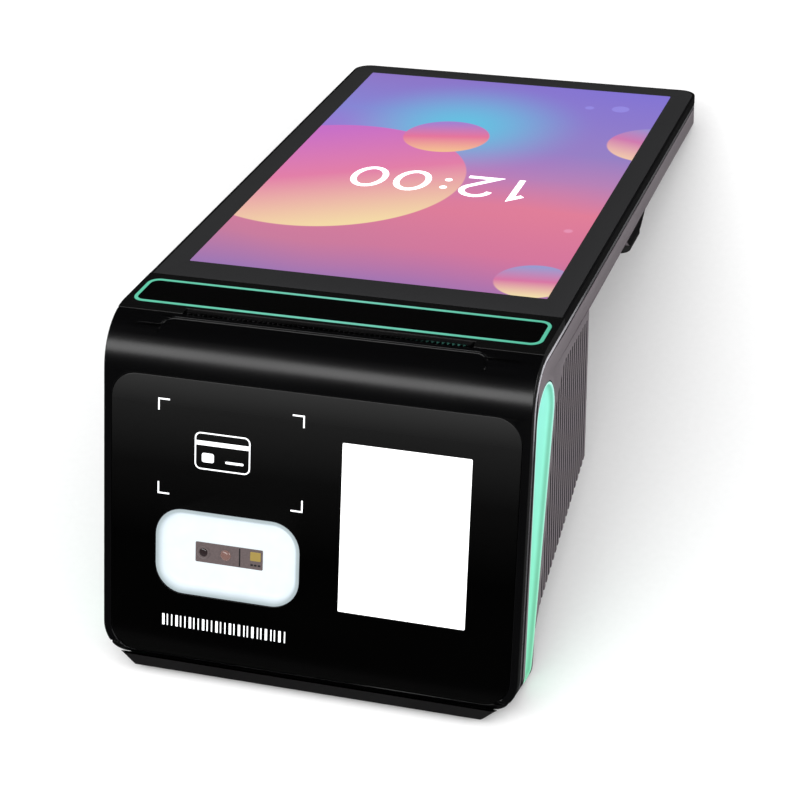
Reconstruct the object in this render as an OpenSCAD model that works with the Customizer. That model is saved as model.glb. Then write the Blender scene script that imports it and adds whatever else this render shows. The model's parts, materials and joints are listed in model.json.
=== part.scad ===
// Countertop self checkout terminal.
// A sloping touch display faces the cashier. A front panel with a payment pad, a code
// scanner and a small screen faces the customer, and swings open on its lower edge to
// load the receipt roll. The origin is on the table, under the middle of the front foot.
// +X is the customer's right, +Y runs away from the customer, +Z is up.

/* [Posture] */
// Slope of the main display, falling away from the customer, in degrees
display_slope = 20.6; // [20:0.1:21]
// Angle inside the body between the display plane and the front plane, in degrees
front_angle = 101.5; // [101:0.1:102]
// Height above the table of the edge where those two planes meet
corner_height = 88.4; // [88:0.1:89]
// Distance of that edge behind the middle of the front foot
corner_y = 44.2; // [44:0.1:44.6]
// Radius that rounds the edge over
corner_r = 17; // [16.8:0.1:17.2]

/* [Body] */
// Width of the body
body_w = 123.2; // [122:0.4:126]
// Length of the display slab from the meeting edge
slab_len = 223.7; // [221:0.1:226]
// Thickness of the display slab
slab_t = 10.2; // [10:0.1:10.8]
// Wall of the grey housing
wall = 2.4; // [2.2:0.1:2.6]
// Distance of the rear wall from the meeting edge, along the display
rear_y = 62.5; // [61.5:0.1:64]
// Angle of the rear wall off square to the display, in degrees
rear_lean = 3.6; // [3:0.1:4]
// Height above the table of the wedge's flat underside
belly_z = 14; // [13.8:0.1:14.4]
// Depth of the front leg behind the front plane
leg_d = 17.4; // [17.2:0.1:17.8]
// Pitch of the fine ribs on the sides
rib_pitch = 2.5; // [2:0.1:3.5]

/* [Main display] */
// Width of the picture
screen_w = 107.6; // [104:0.1:108]
// Length of the picture
screen_l = 172.2; // [168:0.1:172.4]
// Distance of the picture's near edge from the meeting edge
screen_y = 43.5; // [43.2:0.1:45]

/* [Front panel] */
// Width of the inset glass
glass_w = 118.4; // [116:0.2:118.6]
// Distance down the front to the top of the inset glass
glass_top = 14.5; // [14:0.1:16]
// Distance down the front to the foot of the inset glass
glass_foot = 96.9; // [96:0.1:97]
// Sideways place of the small screen
lcd_x = 27.5; // [26:0.1:28]
// Sideways place of the scanner window and the payment pad
scan_x = -24.1; // [-25:0.1:-23]

/* [Receipt printer] */
// Width of the paper
paper_w = 80; // [78:0.5:80]
// Diameter of a full roll
roll_d = 40; // [34:1:40]
// Diameter of the rubber feed roller
platen_d = 10.5; // [10:0.1:10.5]
// Gear module
gear_m = 0.6; // [0.59:0.01:0.61]

/* [Hidden] */
$fn = 64;

half_w = body_w / 2;
edge_t = 4.5;                             // depth of the edge layers over the grey housing
trim_top = 3;                             // the bright trim lies between these depths
trim_foot = 4;
door_t = 2.8;                             // depth of the door's own edge
skin = 2.2;                               // wall of the door
tangent = corner_r / tan(front_angle / 2);
foot_r = 9.9;                             // radius of the front's lower corners
foot_x = half_w - foot_r;
foot_s = 89.4;                            // where those corners start, down the front
lip_s = 101.7;                            // foot of the lip, down the front
base_z = 1.2;                             // height of the leg's underside
floor_t = 2;                              // thickness of the base's floor
foot_t = 1.9;                             // thickness of the front foot
door_edge_y = 9.4;                        // the door's top edge, along the display
band_y = 32.7;                            // near edge of the display glass
hinge_s = 95.4;                           // door hinge, down the front
hinge_d = 3.5;                            // door hinge, behind the front plane
hinge_r = 1;                              // radius of the hinge pin
run = 0.05;                               // radial clearance of a running fit
platen_y = 5.3;                           // feed roller, in the display's directions
platen_z = -14;
roll_y = 36;                              // roll, in the display's directions
roll_z = -38;
platen_teeth = 16;
idler_teeth = 26;
pinion_teeth = 12;
idler_dir = -30;                          // direction from feed roller to idler
pinion_dir = -60;                         // direction from idler to motor pinion
gear_x = -48.7;                           // middle of the gears
gear_t = 3;

idler_y = platen_y + gear_m * (platen_teeth + idler_teeth) / 2 * cos(idler_dir);
idler_z = platen_z + gear_m * (platen_teeth + idler_teeth) / 2 * sin(idler_dir);
motor_y = idler_y + gear_m * (idler_teeth + pinion_teeth) / 2 * cos(pinion_dir);
motor_z = idler_z + gear_m * (idler_teeth + pinion_teeth) / 2 * sin(pinion_dir);

// Side view point from display directions: y along the display, z out of it.
function disp(y, z) = [
  corner_y + y * cos(display_slope) + z * sin(display_slope),
  corner_height - y * sin(display_slope) + z * cos(display_slope)];
// Side view point from front directions: s down the front, d into the body.
function front(s, d) = disp(
  s * cos(front_angle) + d * sin(front_angle),
  -s * sin(front_angle) + d * cos(front_angle));

// Places children in the display's directions, with z out of the glass.
module on_display() {
  translate([0, corner_y, corner_height]) rotate([-display_slope, 0, 0]) children();
}
// Places children in the front's directions: y up the front, z towards the customer.
module on_front() {
  on_display() rotate([180 - front_angle, 0, 0]) children();
}
// Turns a side view outline into a solid of the given width, centred on x.
module across(width, x = 0) {
  translate([x, 0, 0]) rotate([90, 0, 90])
    linear_extrude(height = width, center = true) children();
}
// A round bar along x, at a side view point.
module bar(p, r, width, x = 0) {
  across(width, x) translate(p) circle(r);
}
module rounded(w, h, r) {
  square([w - 2 * r, h], center = true);
  square([w, h - 2 * r], center = true);
  for (i = [-1, 1], j = [-1, 1]) translate([i * (w / 2 - r), j * (h / 2 - r)]) circle(r);
}
function arc(centre, r, from, to, steps = 16) = [for (i = [0 : steps])
  let (a = from + (to - from) * i / steps) centre + r * [cos(a), sin(a)]];
// Two circles joined by their outer tangents.
module taper(p, r, q, t) {
  way = atan2(q[1] - p[1], q[0] - p[0]);
  lean = acos((r - t) / norm(q - p));
  polygon(concat(arc(p, r, way + lean, way - lean + 360), arc(q, t, way - lean, way + lean)));
}

// Side view of everything at least o inside the display and front planes.
module inside(o) {
  polygon([
    disp(tangent, -corner_r), disp(tangent, -o), disp(slab_len + 20, -o),
    disp(slab_len + 20, -120), front(130, 60), front(130, o), front(tangent, o)]);
  translate(disp(tangent, -corner_r)) circle(corner_r - o);
}
// Front view of the body, with y up the front.
module front_outline(o = 0) {
  translate([-half_w + o, -foot_s]) square([body_w - 2 * o, foot_s + 120]);
  for (i = [-1, 1]) translate([i * foot_x, -foot_s]) circle(foot_r - o);
  translate([-foot_x, -foot_s - foot_r + o]) square([2 * foot_x, foot_r]);
}
module lip_outline() {
  polygon([[-foot_x, -lip_s], [foot_x, -lip_s], [foot_x + 3.9, -98.5],
    [foot_x + 3.9, -96], [-foot_x - 3.9, -96], [-foot_x - 3.9, -98.5]]);
}
module envelope(o = 0) {
  on_front() translate([0, 0, -260]) linear_extrude(height = 270) front_outline(o);
}
// Plan of the display slab, inset by o, with rounded far corners.
module slab_plan(o, y0, r_far) {
  w = half_w - o;
  far = slab_len - o;
  translate([-w, y0]) square([2 * w, far - r_far - y0]);
  translate([-w + r_far, y0]) square([2 * (w - r_far), far - y0]);
  for (i = [-1, 1]) translate([i * (w - r_far), far - r_far]) circle(r_far);
}
module slab(o, y0, z0, z1, r_far) {
  on_display() translate([0, 0, z0]) linear_extrude(height = z1 - z0)
    slab_plan(o, y0, r_far);
}

// Side view of the grey housing's back boundary.
wedge_top = disp(rear_y, -slab_t);
wedge_foot = [wedge_top[0] - (wedge_top[1] - belly_z) * tan(display_slope + rear_lean),
  belly_z];
// Distance down the front at which a depth d behind it reaches the underside's height.
function belly_s(d) = (belly_z - front(0, d)[1]) / (front(1, 0)[1] - front(0, 0)[1]);
leg_chamfer = 3.5;
// Back of the leg, from the wedge's underside down to the table.
leg_back = [front(belly_s(leg_d + leg_chamfer), leg_d + leg_chamfer),
  front(belly_s(leg_d) + leg_chamfer, leg_d), front(92.6, leg_d), [5.6, base_z]];
module wedge_side() {
  polygon(concat([disp(0, 0), disp(rear_y, 0), wedge_top, wedge_foot], leg_back,
    [[-15.6, base_z], front(lip_s, 0)]));
}
// Leaf-shaped window of the side light, in front directions (d, up).
module leaf(o = 0) {
  taper([15.9, -17.6], 9.9 + o, [12.2, -90.2], 3.9 + o);
}
// Draws front view (d, up) outlines as side plates, from x0 to x1.
module side_plate(x0, x1) {
  on_front() translate([x0, 0, 0]) rotate([0, 90, 0])
    linear_extrude(height = x1 - x0) children();
}

// Side view band between two depths under the display and front planes.
module band(o1, o2) {
  difference() {
    inside(o1);
    inside(o2);
  }
}
// Side view regions split by the door's top edge.
module door_side() {
  polygon([disp(door_edge_y, 30), disp(door_edge_y, -8), front(24, 16), front(lip_s, 30),
    front(lip_s, -20), disp(-40, 30)]);
}
module ribs() {
  count = 34;
  on_display() for (side = [-1, 1]) translate([side * (half_w + 0.7), 0, 0])
    rotate([90, 0, 90]) linear_extrude(height = 2.2, center = true) intersection() {
      polygon([[24, -22], [33, -13.4], [120, -13.4], [120, -90], [2, -90], [12, -58]]);
      for (i = [0 : count - 1]) translate([rear_y - 2.4 - i * rib_pitch, -slab_t])
        rotate(-rear_lean) translate([-0.55, -90]) square([1.1, 90]);
    }
}
module wedge_room() {
  polygon([disp(-40, 40), disp(rear_y - wall, 40), disp(rear_y - wall, -slab_t),
    [wedge_foot[0] - wall / cos(display_slope), belly_z],
    [wedge_foot[0] - wall / cos(display_slope), -20], [-80, -20]]);
}
socket_lean = display_slope + rear_lean;
// Places children on the rear wall: x along it, y up it, z out of it.
module on_rear(x, up) {
  translate([x, wedge_foot[0], belly_z]) rotate([-socket_lean, 0, 0])
    translate([0, 0, up]) rotate([90, 0, 180]) children();
}
button_y = [150, 176, 190];
button_z = -6.9;

module main_housing() {
  color([0.58, 0.56, 0.58]) difference() {
    union() {
      slab(0, 20, -slab_t, -edge_t, 6);
      intersection() {
        across(body_w) intersection() {
          inside(edge_t);
          wedge_side();
        }
        envelope();
      }
      for (side = [-1, 1]) pad_boss(side);
    }
    slab(wall, 58, -slab_t + 1.6, 1, 4);
    across(body_w - 2 * wall) wedge_room();
    side_plate(-half_w - 5, half_w + 5) leaf(0.12);
    ribs();
    on_rear(50.5, 12) linear_extrude(height = 20, center = true) rounded(9.6, 13.6, 0.4);
    on_rear(50.5, 28) linear_extrude(height = 20, center = true) circle(4.6);
    on_rear(-50.9, 15.5) linear_extrude(height = 20, center = true) rounded(16.4, 14.4, 0.4);
    on_display() for (y = button_y) translate([-half_w, y, button_z])
      rotate([0, 90, 0]) linear_extrude(height = 8, center = true) button_plan(0.15);
  }
}
module button_plan(o) {
  square([2.4 + 2 * o, 6 + 2 * o], center = true);
  for (i = [-1, 1]) translate([0, i * 3]) circle(1.2 + o);
}
// Flared bosses under the slab's sides that carry oblong rubber pads.
pad_top = -12.6;                          // depth of the pads' seats under the glass
pad_x = half_w - 5.2;
module pad_plan(side, o = 0) {
  translate([side * pad_x, 129]) rounded(8.4 + 2 * o, 21 + 2 * o, 3.8 + o);
}
module pad_boss(side) {
  on_display() difference() {
    across(9.6, side * (half_w - 5)) polygon([[112, -slab_t + 0.4], [119, -14.6], [133, -14.6],
      [142, -slab_t + 0.4]]);
    translate([0, 0, pad_top - 10]) linear_extrude(height = 10) pad_plan(side, 0.1);
  }
}
module side_pads() {
  color([0.04, 0.04, 0.04]) on_display() for (side = [-1, 1])
    translate([0, 0, pad_top - 4.8]) linear_extrude(height = 4.8) pad_plan(side);
}

module mid_frame() {
  color([0.05, 0.05, 0.055]) difference() {
    union() {
      slab(0, band_y + 0.1, -trim_top, -0.15, 5.5);
      slab(2.25, band_y + 0.1, -edge_t, -trim_top, 4.5);
      on_display() for (x = [-44, 44], y = [76, 184])
        translate([x, y, -5.9]) cylinder(h = 1.6, r = 2.4);
    }
    slab(0.8, band_y - 1, -1.1, 1, 5.1);
    on_display() translate([-56.8, 38.5, -3.7]) cube([113.6, 180.9, 5]);
    on_display() translate([-12, 34.4, -6]) cube([24, 4.2, 10]);
    on_display() for (x = [-44, 44], y = [76, 184])
      translate([x, y, -7]) cylinder(h = 3.1, r = 0.8);
  }
}

// Trim layer between two depths, inset by o: a ring round the slab, then down both sides.
trim_w = 2.2;
trim_y = 22;
trim_end_s = 93;
module trim_layer(o, top, foot) {
  difference() {
    slab(o, trim_y, -foot, -top, 6 - o);
    slab(trim_w, 0, -foot - 1, 1, 4.5);
  }
  intersection() {
    for (side = [-1, 1]) across(trim_w - o, side * (half_w - (trim_w + o) / 2)) intersection() {
      band(top, foot);
      polygon([disp(trim_y + 0.5, 20), disp(trim_y + 0.5, -20), front(50, 40),
        front(trim_end_s, 40), front(trim_end_s, -20), disp(-30, 20)]);
    }
    envelope();
  }
}
module edge_trim() {
  color([0.8, 0.8, 0.82]) {
    trim_layer(0, trim_top, trim_foot);
    trim_layer(0.8, trim_foot - 0.2, edge_t);
  }
}
module touch_glass() {
  color([0.17, 0.17, 0.17]) slab(0.85, band_y + 0.15, -1.1, 0, 5);
}
module display_panel() {
  color([0.55, 0.5, 0.8]) on_display() translate([0, screen_y + screen_l / 2, -2.4])
    cube([screen_w + 4, screen_l + 6, 2.5], center = true);
}
band_edge_y = door_edge_y + 0.3;
module band_side() {
  polygon([disp(band_edge_y, 20), disp(band_edge_y, -20), disp(band_y, -20), disp(band_y, 20)]);
}
ring_y = 13.8;
ring_l = 15.3;
ring_t = 0.95;
module ring_plan(o) {
  translate([0, ring_y + ring_l / 2]) rounded(2 * (half_w - 2.1) - 2 * o, ring_l - 2 * o, 3.4 - o);
}
module band_panel() {
  color([0.03, 0.03, 0.035]) difference() {
    union() {
      across(body_w) intersection() {
        band(0, 2);
        band_side();
      }
      for (side = [-1, 1]) across(2, side * (half_w - 1)) intersection() {
        band(0, trim_top);
        band_side();
      }
    }
    on_display() translate([0, 0, -1.3]) linear_extrude(height = 4) ring_plan(-0.05);
    on_display() translate([-42, 9, -6]) cube([84, 3.3, 10]);
  }
}
module light_frame() {
  color([0.4, 0.85, 0.7]) on_display() translate([0, 0, -1.3]) linear_extrude(height = 1.35)
    difference() {
      ring_plan(0);
      ring_plan(ring_t);
    }
}
module band_lens() {
  color([0.02, 0.02, 0.02]) on_display() translate([0, 0, -1.3])
    linear_extrude(height = 1.25) ring_plan(ring_t + 0.05);
}
module tear_bar() {
  teeth = 56;
  pitch = 82.6 / teeth;
  color([0.35, 0.35, 0.37]) on_display() {
    translate([0, 0, -0.95]) linear_extrude(height = 0.6) {
      translate([-41.3, 11.1]) square([82.6, 1.1]);
      for (i = [0 : teeth - 1]) translate([-41.3 + (i + 0.5) * pitch, 11.15])
        polygon([[-pitch / 2, 0], [0, -1.3], [pitch / 2, 0]]);
    }
    translate([-41.3, 11.5, -6]) cube([82.6, 0.7, 5.2]);
  }
}

// The black base closes the underside and forms the leg, its foot and the lip.
base_rear = wedge_foot[0] - wall / cos(display_slope) - 0.2;
module base_side() {
  difference() {
    polygon(concat([
      [base_rear, belly_z], [base_rear + 0.7, belly_z + floor_t],
      front(belly_s(leg_d - floor_t) - 2.4, leg_d - floor_t + 0.4),
      front(90, leg_d - floor_t + 0.4), [3.4, 3.4],
      front(98.2, 4), front(98.2, 0), front(lip_s, 0), [-5.6, base_z]],
      [leg_back[3], leg_back[2], leg_back[1], leg_back[0]]));
    translate(front(hinge_s, hinge_d)) circle(hinge_d + 0.3);
  }
}
base_knuckles = [-47, -14, 14, 47];
door_knuckles = [-36, 36, 0];
module base_cover() {
  color([0.04, 0.04, 0.045]) difference() {
    union() {
      intersection() {
        across(body_w - 2 * wall - 0.2) base_side();
        on_front() translate([0, 0, -260]) linear_extrude(height = 270) {
          front_outline();
          lip_outline();
        }
      }
      for (x = base_knuckles) {
        bar(front(hinge_s, hinge_d), 2.2, 10, x);
        across(10, x) polygon([front(hinge_s + 1, hinge_d + 1.9), front(hinge_s - 1, hinge_d + 2),
          front(hinge_s - 3, 11), front(95.6, 11)]);
      }
      on_table_posts() cylinder(h = 8, r = 2.6);
    }
    bar(front(hinge_s, hinge_d), hinge_r + run, 120);
    on_table_posts() translate([0, 0, -3]) cylinder(h = 8.5, r = 1.25);
    translate([0, 0, -1]) linear_extrude(height = foot_t + 1) foot_plan(0.1);
  }
}
screw_places = [[-52, 30], [52, 30], [-52, 68], [52, 68]];
module on_table_posts() {
  for (p = screw_places) translate([p[0], p[1], belly_z]) children();
}
// One rubber strip under the leg.
module foot_plan(o = 0) {
  rounded(92 + 2 * o, 6.4 + 2 * o, 2.4 + o);
}
module leg_foot() {
  color([0.03, 0.03, 0.03]) linear_extrude(height = foot_t) foot_plan();
}
module display_feet() {
  color([0.03, 0.03, 0.03]) difference() {
    on_display() for (x = [-42, 42]) translate([x, slab_len - 13, -slab_t - 8])
      linear_extrude(height = 8) rounded(20, 9, 2.4);
    translate([-100, 100, -20]) cube([200, 300, 20]);
  }
}

module light_inserts() {
  color([0.45, 0.92, 0.75]) intersection() {
    union() {
      side_plate(half_w - wall + 0.05, half_w) leaf();
      side_plate(-half_w, -half_w + wall - 0.05) leaf();
    }
    envelope();
  }
}
module led_boards() {
  for (side = [-1, 1]) {
    color([0.1, 0.35, 0.2]) side_plate(side * (half_w - 4.2) - 0.5, side * (half_w - 4.2) + 0.5)
      polygon([[10, -12], [20, -12], [17.5, -68], [10, -68]]);
    for (s = [18 : 11 : 62]) color([0.9, 0.9, 0.6])
      side_plate(side * (half_w - 3.36) - 0.36, side * (half_w - 3.36) + 0.36)
        translate([14, -s]) square([3, 3], center = true);
  }
}
module main_board() {
  color([0.05, 0.3, 0.18]) on_display() {
    difference() {
      translate([-50, 68, -6.9]) cube([100, 124, 1]);
      for (x = [-44, 44], y = [76, 184]) translate([x, y, -8]) cylinder(h = 4, r = 1.1);
    }
    for (p = [[-30, 90, 16, 16], [4, 96, 12, 12], [-34, 130, 14, 10], [20, 150, 18, 8]])
      translate([p[0], p[1], -5.95]) cube([p[2], p[3], 1]);
    translate([-11, 70, -5.95]) cube([22, 4, 1]);
  }
}
module board_shield() {
  color([0.75, 0.75, 0.77]) on_display() difference() {
    translate([-24, 100, -8.3]) cube([48, 40, 1.4]);
    translate([-23.7, 100.3, -8]) cube([47.4, 39.4, 1.2]);
  }
}
module display_cable() {
  color([0.75, 0.45, 0.1]) across(20) {
    polygon([disp(screen_y - 3, -2.4), disp(36, -2.4), disp(35.6, -2.7), disp(35.6, -5),
      disp(36, -5.25), disp(70, -5.25), disp(70, -5.5), disp(35.9, -5.5), disp(35.35, -5.1),
      disp(35.35, -2.6), disp(35.9, -2.15), disp(screen_y - 3, -2.15)]);
  }
}
module speaker() {
  color([0.1, 0.1, 0.1]) translate([51, 48, belly_z + floor_t]) {
    translate([-5.5, -14, 0]) cube([11, 28, 20]);
    translate([4, 0, 10]) rotate([0, 90, 0]) cylinder(h = 2.6, r1 = 8, r2 = 6);
  }
}
module network_socket() {
  color([0.6, 0.6, 0.62]) on_rear(-50.9, 15.5) difference() {
    translate([-8, -7, -16]) cube([16, 14, 16]);
    translate([-6, -4.6, -11]) cube([12, 8.4, 12]);
    translate([-3.2, -6, -11]) cube([6.4, 3, 12]);
  }
}
module usb_sockets() {
  color([0.65, 0.65, 0.67]) on_rear(50.5, 12) difference() {
    translate([-4.6, -6.6, -12]) cube([9.2, 13.2, 12]);
    for (i = [-1, 1]) translate([i * 2.1 - 1.4, -5.8, -9]) cube([2.8, 11.6, 10]);
  }
}
module power_socket() {
  color([0.06, 0.06, 0.06]) on_rear(50.5, 28) difference() {
    union() {
      translate([0, 0, -3]) cylinder(h = 3, r = 4.4);
      translate([-4.6, -5, -12]) cube([9.2, 10, 9.1]);
    }
    translate([0, 0, -9]) cylinder(h = 10, r = 3.2);
  }
}
module housing_screws() {
  color([0.6, 0.6, 0.62]) on_display() for (x = [-44, 44], y = [76, 184])
    translate([x, y, 0]) {
      translate([0, 0, -8.1]) cylinder(h = 1.2, r = 1.9);
      translate([0, 0, -7]) cylinder(h = 3, r = 0.75);
    }
}
module base_screws() {
  color([0.5, 0.5, 0.52]) on_table_posts() {
    translate([0, 0, -0.3]) cylinder(h = 5, r = 0.95);
    difference() {
      translate([0, 0, -1.2]) cylinder(h = 1.2, r = 2.1);
      translate([0, 0, -1.6]) cylinder(h = 1.1, r = 1, $fn = 6);
    }
  }
}

module roll_axis() {
  translate(disp(roll_y, roll_z)) children();
}
// Tray under the roll: a trough with low ends, on a foot.
cradle_in = roll_d / 2 + 0.9;
cradle_out = roll_d / 2 + 2;
module cradle_part(width, x, r) {
  across(width, x) difference() {
    roll_axis() circle(cradle_out);
    roll_axis() circle(r);
    polygon([disp(-60, 40), disp(120, 40), disp(120, roll_z + 4), disp(roll_y, roll_z),
      disp(-60, roll_z - 14)]);
  }
}
module roll_cradle() {
  centre = disp(roll_y, roll_z);
  color([0.12, 0.12, 0.13]) {
    cradle_part(85, 0, cradle_in);
    for (side = [-1, 1]) cradle_part(1.2, side * 41.9, roll_d / 2 - 8);
    across(60) polygon([[centre[0] - 6, belly_z + floor_t], [centre[0] + 6, belly_z + floor_t],
      [centre[0] + 4, centre[1] - cradle_in - 0.5], [centre[0] - 4, centre[1] - cradle_in - 0.5]]);
  }
}
module paper_roll() {
  color([0.95, 0.95, 0.94]) across(paper_w) roll_axis() difference() {
    circle(roll_d / 2);
    circle(7.6);
  }
}
module paper_core() {
  color([0.7, 0.6, 0.45]) across(paper_w - 1) roll_axis() difference() {
    circle(7.6);
    circle(6.1);
  }
}

// Involute gear outline; teeth start on the line at the given angle.
function inv(a) = tan(a) * 180 / PI - a;
module gear_outline(teeth, start) {
  r_pitch = gear_m * teeth / 2;
  r_base = r_pitch * cos(20);
  r_tip = r_pitch + 0.85 * gear_m;
  r_root = r_pitch - 1.15 * gear_m;
  half = 90 / teeth * 0.86 + inv(20);
  steps = 4;
  r0 = max(r_base, r_root);
  flank = [for (i = [0 : steps])
    let (r = r0 + (r_tip - r0) * i / steps) [r, half - inv(acos(min(1, r_base / r)))]];
  polygon([for (k = [0 : teeth - 1]) each
    let (mid = start + 360 * k / teeth) concat(
      [[r_root * cos(mid - flank[0][1] - 1), r_root * sin(mid - flank[0][1] - 1)]],
      [for (i = [0 : steps]) flank[i][0] * [cos(mid - flank[i][1]), sin(mid - flank[i][1])]],
      [for (i = [0 : steps]) flank[steps - i][0] *
        [cos(mid + flank[steps - i][1]), sin(mid + flank[steps - i][1])]],
      [[r_root * cos(mid + flank[0][1] + 1), r_root * sin(mid + flank[0][1] + 1)]])]);
}
// Start angle of a gear's teeth that mesh with a driving gear placed in a direction.
function mesh(start, way, from_teeth, to_teeth) =
  way + 180 - 360 / to_teeth * ((start - way) * from_teeth / 360 + 0.5);
// Gears are drawn in display directions.
module gear(y, z, teeth, start, bore, t = gear_t) {
  on_display() across(t, gear_x) translate([y, z]) difference() {
    gear_outline(teeth, start);
    circle(bore);
  }
}
module display_bar(y, z, r, x0, x1) {
  on_display() across(x1 - x0, (x0 + x1) / 2) translate([y, z]) circle(r);
}
idler_start = mesh(0, idler_dir, platen_teeth, idler_teeth);
pinion_start = mesh(idler_start, pinion_dir, idler_teeth, pinion_teeth);

module platen_roller() {
  color([0.06, 0.06, 0.06]) on_display() across(81) translate([platen_y, platen_z]) difference() {
    circle(platen_d / 2);
    circle(2.4);
  }
}
module platen_shaft() {
  color([0.75, 0.75, 0.76]) {
    display_bar(platen_y, platen_z, 2.4, -40.5, 40.5);
    display_bar(platen_y, platen_z, 1.5, -50.2, 46.9);
  }
}
module platen_gear() {
  color([0.85, 0.85, 0.82]) gear(platen_y, platen_z, platen_teeth, 0, 1.5);
}
module platen_bushes() {
  color([0.7, 0.55, 0.25]) on_display() for (side = [-1, 1])
    across(3.6, side * 44.6) translate([platen_y, platen_z]) difference() {
      circle(2.9);
      circle(1.5 + run);
    }
}
module idler_gear() {
  color([0.85, 0.85, 0.82]) gear(idler_y, idler_z, idler_teeth, idler_start, 1.5 + run);
}
module idler_pin() {
  color([0.7, 0.7, 0.72]) display_bar(idler_y, idler_z, 1.5, -51.8, -41.9);
}
module motor_pinion() {
  color([0.75, 0.62, 0.3]) {
    gear(motor_y, motor_z, pinion_teeth, pinion_start, 0.9);
    display_bar(motor_y, motor_z, 1, -56, -46.8);
  }
}
module stepper_motor() {
  color([0.5, 0.5, 0.52]) on_display() difference() {
    union() {
      across(5.8, -55.1) translate([motor_y, motor_z]) circle(6.4);
      across(0.8, -51.9) translate([motor_y, motor_z]) difference() {
        taper([0, 0], 7.2, [9.5, -6], 2.6);
        translate([9.5, -6]) circle(1);
      }
    }
    across(6, -54) translate([motor_y, motor_z]) circle(1 + run);
  }
}
frame_posts = [[25.5, -13.2], [16, -33.5]];
module printer_legs() {
  floor_z = belly_z + floor_t;
  for (side = [-1, 1]) {
    across(1.2, side * 42.1) polygon([disp(12, -32.8), disp(15, -33.6), [40.9, 46],
      [40.9, floor_z], [35.4, floor_z], [35.4, 43]]);
    across(6, side * 38.6) translate([35.4, floor_z]) square([5.5, 1.2]);
  }
}
module printer_frame() {
  color([0.3, 0.3, 0.32]) printer_legs();
  color([0.3, 0.3, 0.32]) on_display() difference() {
    union() {
      for (side = [-1, 1]) across(1.2, side * 42.1)
        polygon([[6, -8], [12.8, -7.2], [31, -4], [31, -16], [22, -28], [18, -36], [13, -35],
          [10, -30], [10.9, -21.5], [6, -17]]);
      translate([-41.6, 20.6, -22]) cube([83.2, 1.4, 17]);
      translate([-41.6, 15.8, -26.6]) cube([83.2, 2.8, 0.8]);
      across(0.8, -51) difference() {
        taper([idler_y, idler_z], 5, [motor_y, motor_z], 8);
        translate([motor_y, motor_z]) circle(4.8);
      }
      for (p = frame_posts) {
        across(9, -46.9) translate(p) circle(1.4);
        across(0.8, -51) taper([idler_y, idler_z], 4, p, 2.2);
      }
    }
    across(100) translate([platen_y, platen_z]) circle(4);
    across(30, -46) translate([idler_y, idler_z]) circle(1.5);
    across(100) translate([head_y, head_z]) circle(1);
    for (x = spring_x) translate([x, 19, spring_z]) rotate([-90, 0, 0]) cylinder(h = 5, r = 2.4);
  }
}
head_y = 13.4;                            // print head's pivot, in the display's directions
head_z = -26;
spring_x = [-26, 0, 26];
spring_z = -13;
module print_head() {
  front_face = platen_y + platen_d / 2 + 0.1;
  color([0.72, 0.72, 0.74]) on_display() {
    difference() {
      union() {
        translate([-40.6, front_face + 0.7, -24]) cube([81.2, 2.4, 17]);
        for (side = [-1, 1]) across(1.6, side * 39.8) taper([head_y, head_z], 1.9,
          [front_face + 1.9, -22], 1.2);
      }
      across(100) translate([head_y, head_z]) circle(1 + run);
    }
    translate([-40, front_face, -20]) cube([80, 0.72, 11]);
  }
}
module head_pin() {
  color([0.7, 0.7, 0.72]) display_bar(head_y, head_z, 1, -43, 43);
}
module head_springs() {
  color([0.6, 0.6, 0.62]) on_display() for (x = spring_x) translate([x, 13.75, spring_z])
    rotate([-90, 0, 0]) linear_extrude(height = 7.4, twist = -360 * 4, slices = 40, $fn = 6)
      translate([1.6, 0]) circle(0.35, $fn = 6);
}
module paper_sensor() {
  color([0.08, 0.08, 0.08]) on_display() translate([18, 14.6, -29]) cube([8, 2.8, 2.4]);
}
// Sprung clips that grip the roller's bushes and hold the door shut.
module bush_clips() {
  color([0.8, 0.8, 0.82]) on_display() for (side = [-1, 1]) across(0.7, side * 43.05)
    difference() {
      union() {
        taper([platen_y, platen_z], 4.2, [13, -11.2], 2.6);
        taper([13, -11.2], 2.2, [20, -10.4], 1.8);
      }
      translate([platen_y, platen_z]) circle(3);
      polygon([[platen_y, platen_z + 3], [-9, platen_z + 7], [-9, platen_z - 7],
        [platen_y, platen_z - 3]]);
    }
}

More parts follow.
